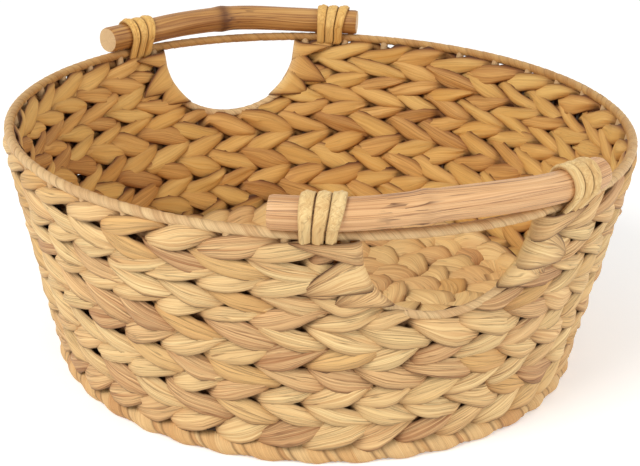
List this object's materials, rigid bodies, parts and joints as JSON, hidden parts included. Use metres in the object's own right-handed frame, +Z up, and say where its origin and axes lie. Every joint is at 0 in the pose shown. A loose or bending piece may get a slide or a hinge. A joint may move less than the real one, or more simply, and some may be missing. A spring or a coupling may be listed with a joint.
{
  "type": "water hyacinth basket",
  "caption": "Round flared storage basket of twined plant stalks on a wire frame, with hand cut-outs and cane pole handles lashed on its rim.",
  "frame": {"origin": "on the ground, under the middle of the basket", "axes": "+Z up, -Y towards the front hand cut-out, +Y towards the back one, X along both handle poles"},
  "size_m": [0.4444, 0.4618, 0.1987],
  "materials": {
    "dark_wire": "dark satin wire",
    "water_hyacinth": "matt dried stalk with fine lengthwise fibres",
    "hyacinth_strip": "matt flat strip, tightly wound",
    "cane": "satin cane with lengthwise grain and one node",
    "flat_cord": "matt pale twisted stalk"
  },
  "bodies": {
    "root": {"wire_frame": "dark_wire", "floor_frame": "dark_wire", "foot_ring": "hyacinth_strip", "rim_wrap": "hyacinth_strip", "cutout_wrap_front": "hyacinth_strip", "cutout_wrap_back": "hyacinth_strip", "course_01_left": "water_hyacinth", "course_01_right": "water_hyacinth", "course_02_left": "water_hyacinth", "course_02_right": "water_hyacinth", "course_03_left": "water_hyacinth", "course_03_right": "water_hyacinth", "course_04_inner_left": "water_hyacinth", "course_04_inner_right": "water_hyacinth", "course_04_outer_left": "water_hyacinth", "course_04_outer_right": "water_hyacinth", "course_05_inner_left": "water_hyacinth", "course_05_inner_right": "water_hyacinth", "course_05_outer_left": "water_hyacinth", "course_05_outer_right": "water_hyacinth", "course_06_inner": "water_hyacinth", "course_06_outer": "water_hyacinth", "course_07_inner": "water_hyacinth", "course_07_outer": "water_hyacinth", "course_08_inner": "water_hyacinth", "course_08_outer": "water_hyacinth", "course_09_inner": "water_hyacinth", "course_09_outer": "water_hyacinth", "course_10_inner": "water_hyacinth", "course_10_outer": "water_hyacinth", "course_11_inner": "water_hyacinth", "course_11_outer": "water_hyacinth", "floor_weave_upper": "water_hyacinth", "floor_weave_lower": "water_hyacinth", "handle_pole_front": "cane", "handle_pole_back": "cane", "lashing_front_left": "flat_cord", "lashing_front_right": "flat_cord", "lashing_back_left": "flat_cord", "lashing_back_right": "flat_cord"}
  },
  "joints": []
}
